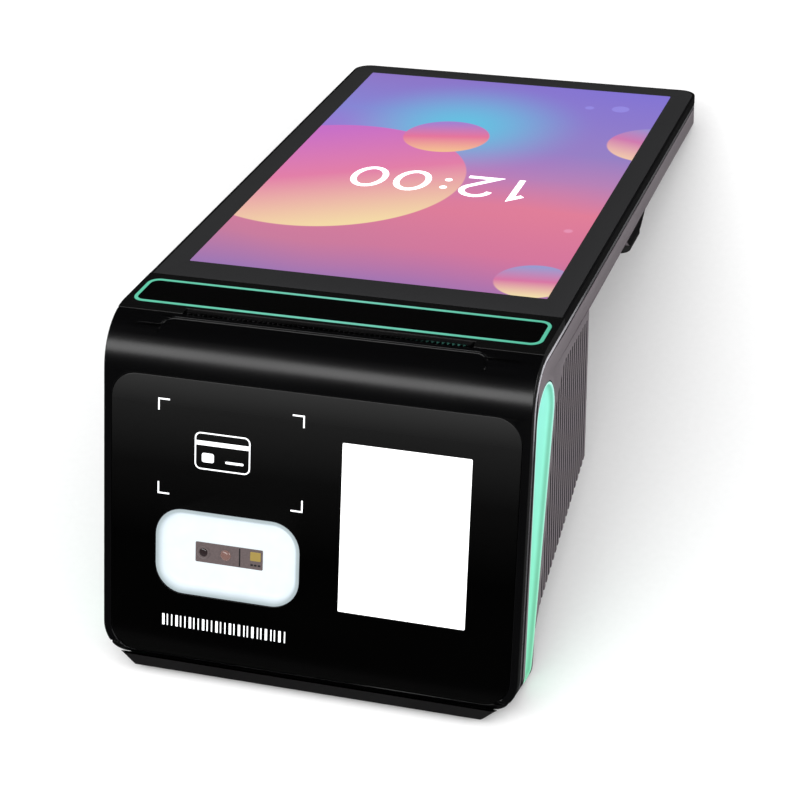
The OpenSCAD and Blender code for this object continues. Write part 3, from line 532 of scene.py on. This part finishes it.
def stroke(points, width, closed=False):
    """Outline or outlines of a line of even width along the points."""
    path = [Vector(p) for p in points]
    count = len(path)
    sides = []
    for i, p in enumerate(path):
        before = path[i - 1] if i or closed else p
        after = path[(i + 1) % count] if i + 1 < count or closed else p
        a = (p - before).normalized() if (p - before).length else (after - p).normalized()
        b = (after - p).normalized() if (after - p).length else a
        normal = Vector((-(a + b).y, (a + b).x)).normalized()
        reach = width / 2 / max(0.4, normal.dot(Vector((-a.y, a.x))))
        sides.append((p + normal * reach, p - normal * reach))
    one = [tuple(s[0]) for s in sides]
    other = [tuple(s[1]) for s in sides]
    return [one, other] if closed else [one + other[::-1]]


def arc(cx, cy, rx, ry, start, end, steps=14):
    """Points along an ellipse, from one angle to another in degrees."""
    return [(cx + rx * math.cos(math.radians(start + (end - start) * i / steps)),
             cy + ry * math.sin(math.radians(start + (end - start) * i / steps)))
            for i in range(steps + 1)]


# ---------------------------------------------------------------- painted shade on CAD finishes

def paint_shade_over(nodes, links, shade_mask, dark):
    """Paints shade: lays a dark colour over a finish where the shade mask is 1, and dulls it there.
    """
    body = nodes["Principled BSDF"]
    base = body.inputs["Base Color"].links[0].from_socket
    links.new(blend_colours(nodes, links, shade_mask, base, dark), body.inputs["Base Color"])
    for name, dull in (("Metallic", 0.0), ("Specular IOR Level", 0.05)):
        full = body.inputs[name].default_value
        links.new(remap(nodes, links, shade_mask, 0, 1, full, dull), body.inputs[name])


def place_along(nodes, links, direction):
    """How far each point of an object lies along a direction, in metres."""
    place = nodes.new("ShaderNodeTexCoord").outputs["Object"]
    return vector_math(nodes, links, "DOT_PRODUCT", place, direction)


HALF_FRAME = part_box("mid_frame")[1].x     # half the body's width, without its ribs

# Painted shade: the grooves between the ribs are darkened, and so is the strip of the side in front
# of the light.
GROOVE_TOP, GROOVE_FULL = 0.03 * MM, 0.14 * MM
GROOVE_END, GROOVE_FLOOR = 0.5 * MM, 0.62 * MM
STRIP_DEPTH, STRIP_FADE, STRIP_SHADE = 5.8 * MM, 0.6 * MM, 0.97
nodes, links = GREY_METAL.node_tree.nodes, GREY_METAL.node_tree.links
side_x = math_node(nodes, links, "ABSOLUTE", object_axis(nodes, links, "X"))
sunk = remap(nodes, links, side_x, HALF_FRAME - GROOVE_TOP, HALF_FRAME - GROOVE_FULL)
kept = remap(nodes, links, side_x, HALF_FRAME - GROOVE_FLOOR, HALF_FRAME - GROOVE_END)
groove = math_node(nodes, links, "MULTIPLY", sunk, kept)
inward = place_along(nodes, links, -front_normal)
strip = remap(nodes, links, inward, STRIP_DEPTH + STRIP_FADE - front_level,
              STRIP_DEPTH - front_level, 0, STRIP_SHADE)
paint_shade_over(nodes, links, math_node(nodes, links, "MAXIMUM", groove, strip), srgb(14, 12, 14))

# Only the outer layer of the trim is bright; the layer under it is painted dark as a shadow gap, and
# lower down the trim is painted darker as shade.
TRIM_SKIN, TRIM_FADE = 0.4 * MM, 0.1 * MM
TRIM_HIGH, TRIM_LOW, TRIM_SHADE = edge.z - 8 * MM, edge.z - 24 * MM, 0.88
nodes, links = BRIGHT_TRIM.node_tree.nodes, BRIGHT_TRIM.node_tree.links
side_x = math_node(nodes, links, "ABSOLUTE", object_axis(nodes, links, "X"))
up_display = DISPLAY.to_3x3() @ Vector((0, 1, 0))
far = place_along(nodes, links, up_display)
far_edge = up_display.dot(edge) + size_on("edge_trim", DISPLAY)[1].y * MM
inner_x, inner_far = (
    remap(nodes, links, value, outside - TRIM_SKIN, outside - TRIM_SKIN - TRIM_FADE)
    for value, outside in ((side_x, HALF_FRAME), (far, far_edge)))
inner = math_node(nodes, links, "MULTIPLY", inner_x, inner_far)
lower_shade = remap(nodes, links, object_axis(nodes, links, "Z"), TRIM_HIGH, TRIM_LOW, 0, TRIM_SHADE)
paint_shade_over(nodes, links, math_node(nodes, links, "MAXIMUM", inner, lower_shade), srgb(12, 12, 13))


# ---------------------------------------------------------------- main display

low, high = size_on("touch_glass", DISPLAY)
panel_low, panel_high = size_on("display_panel", DISPLAY)
BORDER_X, BORDER_Y = 2.0, 3.0             # the panel reaches this far past its picture
FAR_CORNER = 5.0                          # radius of the glass's far corners
WINDOW_R = 0.3                            # corner radius of a screen's window
PICTURE_GAP = 0.05                        # between a picture and its window
PICTURE_SINK = 0.02                       # a picture lies this far below its glass
picture_w = panel_high.x - panel_low.x - 2 * BORDER_X
picture_l = panel_high.y - panel_low.y - 2 * BORDER_Y
picture_mid = ((panel_low.x + panel_high.x) / 2, (panel_low.y + panel_high.y) / 2)
window = rounded(picture_w, picture_l, WINDOW_R, *picture_mid, steps=2)
plate("display_bezel", [slab_outline(low, high, FAR_CORNER), window], low.z, high.z, DISPLAY,
      "body", BEZEL, replaces=("touch_glass",))
picture = rounded(picture_w - 2 * PICTURE_GAP, picture_l - 2 * PICTURE_GAP, WINDOW_R,
                  *picture_mid, steps=2)
plate("display_picture", [picture], low.z, high.z - PICTURE_SINK, DISPLAY, "body",
      picture_material(picture_mid, picture_w, picture_l), round_off=0.05)

DIGIT_W, DIGIT_H, DIGIT_STROKE = 10.8, 16.4, 1.95
w, h = DIGIT_W / 2, DIGIT_H / 2


def ellipse(cx, cy, rx, ry, steps=24):
    """The whole ellipse, without repeating its first point."""
    return arc(cx, cy, rx, ry, 0, 360 - 360 / steps, steps - 1)


# Outlines of each sign, about its own middle.
GLYPHS = {
    "1": stroke([(-2.6, h - 3.4), (0.6, h - 0.4), (0.6, -h)], DIGIT_STROKE),
    "2": stroke(arc(0, h - w + 0.4, w - 0.9, w - 0.9, 172, -38)
                + [(-w + 1.0, -h + 0.9), (w - 0.4, -h + 0.9)], DIGIT_STROKE),
    "0": stroke(ellipse(0, 0, w - 0.5, h - 0.7), DIGIT_STROKE, closed=True),
    ":": [ellipse(0, 3.2, 1.2, 1.2), ellipse(0, -3.2, 1.2, 1.2)],
}
# The display reads from its far side, so the first sign is on the right.
CLOCK = (("1", 25.2), ("2", 12.4), (":", 1.8), ("0", -9.2), ("0", -23.4))
CLOCK_Y = 119.8
DIGIT_WHITE = surface("digit_white", (0.9, 0.9, 0.92), rough=0.5, grain=0.3, bump=0.001,
                      glow=(1, 0.97, 1), strength=0.95)
outlines = []
for sign, x in CLOCK:
    outlines += [[(x - across, CLOCK_Y - up) for across, up in line] for line in GLYPHS[sign]]
plate("clock_digits", outlines, high.z - 0.1, high.z + 0.03, DISPLAY, "body", DIGIT_WHITE,
      round_off=0.01)


# ---------------------------------------------------------------- front panel

glass_low, glass_high = size_on("front_glass", FRONT)
glass_mid = (glass_low + glass_high) / 2
lcd_low, lcd_high = size_on("customer_lcd", FRONT)
lcd_mid = (lcd_low + lcd_high) / 2
tray_low, tray_high = size_on("scan_tray", FRONT)
tray_mid = (tray_low + tray_high) / 2
engine_low, engine_high = size_on("scanner_module", FRONT)

LCD_W, LCD_H = 36.7, 49.0                 # lit part of the small screen
SCAN_W, SCAN_H, SCAN_R = 43.2, 25.2, 8.4  # scanner window and its corner radius
GLASS_R = 7.5                             # corner radius of the front glass
LCD_GAP = 0.04                            # between the small picture and its window
glass_outline = rounded(glass_high.x - glass_low.x, glass_high.y - glass_low.y, GLASS_R,
                        glass_mid.x, glass_mid.y)
lcd_window = rounded(LCD_W, LCD_H, WINDOW_R, lcd_mid.x, lcd_mid.y, steps=2)
scan_window = rounded(SCAN_W, SCAN_H, SCAN_R, tray_mid.x, tray_mid.y)
plate("front_pane", [glass_outline, lcd_window, scan_window], glass_low.z, glass_high.z, FRONT,
      "door", front_glass_material(), replaces=("front_glass",))
LCD_WHITE = surface("lcd_white", (0.9, 0.9, 0.9), rough=0.4, grain=1.0, bump=0.0005, tint=0.01,
                    glow=(1, 1, 1), strength=1.0)
picture = rounded(LCD_W - 2 * LCD_GAP, LCD_H - 2 * LCD_GAP, WINDOW_R, lcd_mid.x, lcd_mid.y,
                  steps=2)
plate("lcd_picture", [picture], glass_low.z, glass_high.z - PICTURE_SINK, FRONT, "door",
      LCD_WHITE, round_off=0.05)


def loops_mesh(name, rings, matrix, shades):
    """Skin over rings of points of equal count, the last one filled, with a shade per ring."""
    mesh = bpy.data.meshes.new(name)
    bm = bmesh.new()
    layer = bm.verts.layers.float.new(SHADE)
    rows = []
    for ring, shade in zip(rings, shades):
        row = [bm.verts.new(p) for p in ring]
        for vert in row:
            vert[layer] = shade
        rows.append(row)
    count = len(rows[0])
    for outer, inner in zip(rows, rows[1:]):
        for i in range(count):
            bm.faces.new((outer[i], outer[(i + 1) % count], inner[(i + 1) % count], inner[i]))
    bm.faces.new(rows[-1])
    bm.to_mesh(mesh)
    bm.free()
    mesh.transform(matrix @ SCALE)
    smooth(mesh, 40)
    return mesh


# White dish behind the scanner window: an outer wall, a rim, a rolled edge and a flat floor.
# Each step: distance in from the window's edge, height and painted shade, which greys the rim and
# rolled edge.
DISH = ((-1.0, -5.5, 0.0), (-1.0, -1.35, 0.0), (0.1, -1.3, 0.0), (0.1, -0.35, 0.0),
        (0.7, -0.25, 0.0), (1.1, -0.5, 0.15), (1.5, -1.0, 0.4), (2.0, -1.6, 0.72),
        (2.8, -2.1, 0.94), (4.0, -2.3, 1.0), (6.0, -2.35, 1.0))
rings = [[(x, y, z) for x, y in rounded(SCAN_W - 2 * inset, SCAN_H - 2 * inset, SCAN_R - inset,
                                        tray_mid.x, tray_mid.y)] for inset, z, shade in DISH]
DISH_WHITE = lit_material("dish_white", (
    (0.0, srgb(158, 166, 174)), (0.2, srgb(192, 200, 210)), (0.6, srgb(224, 231, 241)),
    (1.0, srgb(240, 245, 252))), 0.92)
dish = loops_mesh("scan_dish", rings, FRONT, [shade for inset, z, shade in DISH])
add_piece("scan_dish", dish, "door", DISH_WHITE, ("scan_tray",))

# Lenses and chips on the face of the scan engine, placed by their share of its width.
engine_mid = (engine_low + engine_high) / 2
ENGINE_W, ENGINE_H = 20.2, 5.9
face_z = engine_high.z


def engine_x(share):
    return engine_mid.x + (share - 0.5) * ENGINE_W


def turned(name, share, profile, material, steps=32, replaces=()):
    """A round piece on the engine's face from (radius, height) points, ending at the middle."""
    turns = [math.tau * i / steps for i in range(steps)]
    rings = [[(engine_x(share) + r * math.cos(a), engine_mid.y + r * math.sin(a), face_z + z)
              for a in turns] for r, z in profile]
    mesh = loops_mesh(name, rings, FRONT, [0.0] * len(rings))
    add_piece(name, mesh, "door", material, replaces)


def engine_chip(name, share, up, width, height, radius, top, material, round_off, steps=2):
    """A small flat piece on the engine's face."""
    outline = rounded(width, height, radius, engine_x(share), engine_mid.y + up, steps)
    plate(name, [outline], face_z - 0.05, face_z + top, FRONT, "door", material, round_off)


LENS, DOME, SEAM, PAD, CHIPS, CHIP_STEP = 0.12, 0.45, 0.66, 0.895, 0.84, 0.055
turned("scan_lens_ring", LENS,
       ((1.9, -0.05), (1.9, 0.25), (1.7, 0.4), (1.45, 0.3), (1.3, 0.05)), SCAN_BROWN)
turned("scan_lens", LENS, ((1.28, 0.0), (1.15, 0.14), (0.85, 0.26), (0.5, 0.33), (0.2, 0.36)),
       LENS_GLASS, replaces=("scanner_lenses",))
turned("scan_dome", DOME, ((1.6, 0.0), (1.5, 0.25), (1.2, 0.5), (0.8, 0.66), (0.3, 0.72)),
       PINK_GLASS)
engine_chip("scan_seam", SEAM, 0, 0.35, ENGINE_H - 0.5, 0.1, 0.08, DARK_PLASTIC, 0.02)
engine_chip("scan_pad", PAD, 0.9, 3.1, 2.6, 0.2, 0.15, GOLD, 0.04, steps=3)
for i in range(3):
    engine_chip("scan_chip_%d" % i, CHIPS + CHIP_STEP * i, -1.7, 0.7, 0.5, 0.08, 0.12,
                DARK_PLASTIC, 0.02)

# Printed marks: corner brackets and a card for the payment pad, bars under the scanner window.
MARK_TOP = glass_high.z + 0.02
MARK_FOOT = glass_high.z - 0.08
PAD_X, PAD_TOP, PAD_FOOT, PAD_W = -23.5, -21.0, -48.5, 42.8
ARM, LINE = 3.3, 0.45                     # length of a bracket's arms, and their width
outlines = []
for side in (-1, 1):
    for level, way in ((PAD_TOP, -1), (PAD_FOOT, 1)):
        cx = PAD_X + side * PAD_W / 2
        outlines += stroke([(cx, level + way * ARM), (cx, level), (cx - side * ARM, level)], LINE)
plate("pad_brackets", outlines, MARK_FOOT, MARK_TOP, FRONT, "door", PRINT_WHITE_GLOW, round_off=0.02)

# Card: its rim, stripe, chip and a short line.
CARD_X, CARD_Y, CARD_W, CARD_H, CARD_LINE = -25.8, -34.6, 16.5, 10.8, 0.4
inner_w, inner_h = CARD_W - 2 * CARD_LINE, CARD_H - 2 * CARD_LINE
outlines = [rounded(CARD_W, CARD_H, 1.8, CARD_X, CARD_Y),
            rounded(inner_w, inner_h, 1.8 - CARD_LINE, CARD_X, CARD_Y),
            rounded(inner_w, 1.3, 0.05, CARD_X, CARD_Y + 2.3, steps=2),
            rounded(3.6, 2.7, 0.6, CARD_X - 4.3, CARD_Y - 1.9, steps=4),
            rounded(5.4, 0.7, 0.3, CARD_X + 3.6, CARD_Y - 2.6, steps=4)]
plate("card_mark", outlines, MARK_FOOT, MARK_TOP, FRONT, "door", PRINT_WHITE_GLOW, round_off=0.02)

# Plain upright bars, in units of a thin bar's width.
BARS_LEFT, BARS_Y, BARS_H, BAR_UNIT = -43.4, -86.3, 3.4, 0.36
BAR_WIDTHS = (2, 1, 1, 2, 1, 1, 2, 1, 1, 2, 1, 1, 2, 1, 1, 2, 1, 2, 1, 1, 2, 1, 1, 2, 1, 1, 2, 1)
WIDE_GAP, NARROW_GAP = 2.7, 1.9
outlines = []
x = BARS_LEFT
for i, units in enumerate(BAR_WIDTHS):
    width = units * BAR_UNIT
    outlines.append(rounded(width, BARS_H, 0.05, x + width / 2, BARS_Y, steps=1))
    x += (units + (WIDE_GAP if i % 3 else NARROW_GAP)) * BAR_UNIT
plate("bar_mark", outlines, MARK_FOOT, MARK_TOP, FRONT, "door", PRINT_WHITE_GLOW, round_off=0.02)


# ---------------------------------------------------------------- side lights

HALF_W = size_on("light_inserts", FRONT)[1].x
FOOT_R = 9.9                              # radius of the front's lower corners
FOOT_S = 89.4                             # where those corners start, down the front
LEAF = ((15.9, 17.6, 9.9), (12.2, 90.2, 3.9))  # depth, distance down the front, radius
LEAF_REACH = 6.0                          # longest step along the leaf's straight sides
# Each ring: distance in from the leaf's edge, depth into the side, and painted shade, dark in the
# gap at the edge and on the inner wall.
LEAF_RINGS = ((0.0, 2.3, 0.0), (0.0, 0.25, 0.0), (0.14, 0.06, 0.0), (0.2, 0.02, 0.15),
              (0.5, 0.0, 0.3), (0.8, 0.1, 0.4), (0.95, 0.4, 0.6), (1.3, 0.85, 0.66),
              (2.0, 1.15, 0.85), (2.8, 1.3, 1.0), (3.6, 1.35, 1.0))


def side_depth(s):
    """How far the side has curved in at a distance down the front."""
    drop = max(0.0, s - FOOT_S)
    return FOOT_R - math.sqrt(max(0.0, FOOT_R ** 2 - drop ** 2))


def leaf_outline(inset, steps=20):
    """Two circles joined by their outer tangents, drawn as depth and distance down the front."""
    (d0, s0, r0), (d1, s1, r1) = LEAF
    way = math.degrees(math.atan2(s1 - s0, d1 - d0))
    lean = math.degrees(math.acos((r0 - r1) / math.hypot(d1 - d0, s1 - s0)))
    return (arc(d0, s0, r0 - inset, r0 - inset, way + lean, way - lean + 360, steps)
            + arc(d1, s1, r1 - inset, r1 - inset, way - lean, way + lean, steps))


def leaf_ring(inset):
    """The leaf's outline with its long sides cut into even steps, the same for every inset."""
    full, inner = leaf_outline(0.0), leaf_outline(inset)
    ring = []
    for i, point in enumerate(full):
        after = (i + 1) % len(full)
        steps = int(math.dist(point, full[after]) // LEAF_REACH) + 1
        ring += [[a + (b - a) * k / steps for a, b in zip(inner[i], inner[after])]
                 for k in range(steps)]
    return ring


whole = bmesh.new()
for side in (-1, 1):
    rings = [[(side * (HALF_W - depth - side_depth(s)), -s, -d) for d, s in leaf_ring(inset)]
             for inset, depth, shade in LEAF_RINGS]
    if side == -1:
        rings = [ring[::-1] for ring in rings]
    whole.from_mesh(loops_mesh("side", rings, FRONT, [shade for inset, depth, shade in LEAF_RINGS]))
bmesh.ops.recalc_face_normals(whole, faces=whole.faces)
lights_mesh = bpy.data.meshes.new("side_lights")
whole.to_mesh(lights_mesh)
whole.free()
smooth(lights_mesh, 40)
light_span = [corner.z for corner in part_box("light_inserts")]
# The ramp paints shade: dark in the gap round each leaf and darker on its inner wall.
MINT = lit_material("mint_light", (
    (0.0, srgb(16, 52, 44)), (0.14, srgb(190, 250, 238)), (0.3, srgb(206, 255, 248)),
    (0.42, srgb(150, 244, 224)), (0.62, srgb(84, 196, 164)), (0.85, srgb(118, 232, 206)),
    (1.0, srgb(134, 244, 222))), 0.84, light_span, srgb(196, 236, 200))
add_piece("side_lights", lights_mesh, "body", MINT, ("light_inserts",))


def ring_material():
    """Mint light, a little paler in the middle of the ring's length."""
    material, nodes, links, body = shader("ring_light")
    across = remap(nodes, links, object_axis(nodes, links, "X"), -0.06, 0.06)
    colour = ramp(nodes, links, across, ((0.0, srgb(78, 196, 158)), (0.5, srgb(104, 200, 176)),
                                         (1.0, srgb(64, 186, 150))))
    links.new(colour, body.inputs["Emission Color"])
    body.inputs["Base Color"].default_value = (0.05, 0.12, 0.1, 1)
    grain = noise(nodes, links, 2.5)
    links.new(spread(nodes, links, grain, 0.78, 0.88), body.inputs["Emission Strength"])
    return material


frame["nodes"]["light_frame"].data.materials.clear()
frame["nodes"]["light_frame"].data.materials.append(ring_material())

HINGE_TOP = 0.03                          # everything round the hinge lies below this height
for node, radius, inward_above in (("front_shell", 0.35, HINGE_TOP), ("main_housing", 0.25, 0),
                                   ("mid_frame", 0.15, 0), ("band_panel", 0.2, 0),
                                   ("base_cover", 0.4, HINGE_TOP)):
    finished(node, NODE_MATERIALS[node], radius, inward_above)


# ---------------------------------------------------------------- stage

half = 3.0                                # half the floor's size, in metres
floor_mesh = bpy.data.meshes.new("floor")
floor_mesh.from_pydata([(-half, -half, 0), (half, -half, 0), (half, half, 0), (-half, half, 0)],
                       [], [(0, 1, 2, 3)])
floor = bpy.data.objects.new("floor", floor_mesh)
bpy.context.scene.collection.objects.link(floor)
PALE_FLOOR = surface("pale_floor", (0.86, 0.86, 0.86), rough=0.9, grain=2.0, bump=0.01, tint=0.01,
                     specular=0.0)
# Like the sky below, the floor is dark in reflections, so the glossy black faces stay black.
nodes, links = PALE_FLOOR.node_tree.nodes, PALE_FLOOR.node_tree.links
seen = nodes.new("ShaderNodeLightPath").outputs["Is Glossy Ray"]
body = nodes["Principled BSDF"]
pale = body.inputs["Base Color"].links[0].from_socket
links.new(blend_colours(nodes, links, seen, pale, (0.06, 0.06, 0.06)), body.inputs["Base Color"])
floor_mesh.materials.append(PALE_FLOOR)


def soft_light(name, place, aim, size, power):
    light = bpy.data.lights.new(name, "AREA")
    light.shape = "RECTANGLE"
    light.size, light.size_y = size
    light.energy = power
    lamp = bpy.data.objects.new(name, light)
    lamp.location = place
    lamp.rotation_mode = "QUATERNION"
    lamp.rotation_quaternion = (Vector(aim) - Vector(place)).to_track_quat("-Z", "Y")
    bpy.context.scene.collection.objects.link(lamp)


# One long soft box over the front edge, which draws the highlight along the rounded edge.
FRONT_BOX_WAY = Vector((-0.28, -0.555, 0.78)).normalized()
FRONT_BOX_REACH = 1.1
soft_light("front_box", edge + FRONT_BOX_WAY * FRONT_BOX_REACH, edge, (1.7, 0.32), 6.4)
soft_light("right_side", (1.5, 0.1, 0.7), (0, 0.1, 0.05), (1.0, 0.8), 8)

# An even sky, a little brighter at the horizon, and dark in reflections.
SKY_LOW, SKY_HIGH, SKY_REFLECTED = 1.12, 1.04, 0.012
world = bpy.data.worlds.new("studio")
bpy.context.scene.world = world
world.use_nodes = True
world.cycles.sampling_method = "NONE"
nodes, links = world.node_tree.nodes, world.node_tree.links
path = nodes.new("ShaderNodeLightPath")
place = nodes.new("ShaderNodeTexCoord")
axes = nodes.new("ShaderNodeSeparateXYZ")
links.new(place.outputs["Generated"], axes.inputs["Vector"])
rise = remap(nodes, links, axes.outputs["Z"], -0.2, 1.0, SKY_LOW, SKY_HIGH, smooth_step=True)
shown = nodes.new("ShaderNodeMix")
shown.data_type = "FLOAT"
shown.inputs["B"].default_value = SKY_REFLECTED
links.new(path.outputs["Is Glossy Ray"], shown.inputs["Factor"])
links.new(rise, shown.inputs["A"])
sky = nodes["Background"]
sky.inputs["Color"].default_value = (1, 1, 1, 1)
links.new(shown.outputs["Result"], sky.inputs["Strength"])
bpy.context.scene.view_settings.view_transform = "Standard"


# ---------------------------------------------------------------- camera

camera = bpy.data.cameras.new("camera")
camera.lens = 102.16
camera.sensor_width = 36
eye = bpy.data.objects.new("camera", camera)
eye.location = edge + Vector((0.19444, -0.39089, 0.42932))
eye.rotation_euler = [math.radians(angle) for angle in (43.12569, 7.37100, 16.00919)]
bpy.context.scene.collection.objects.link(eye)
bpy.context.scene.camera = eye
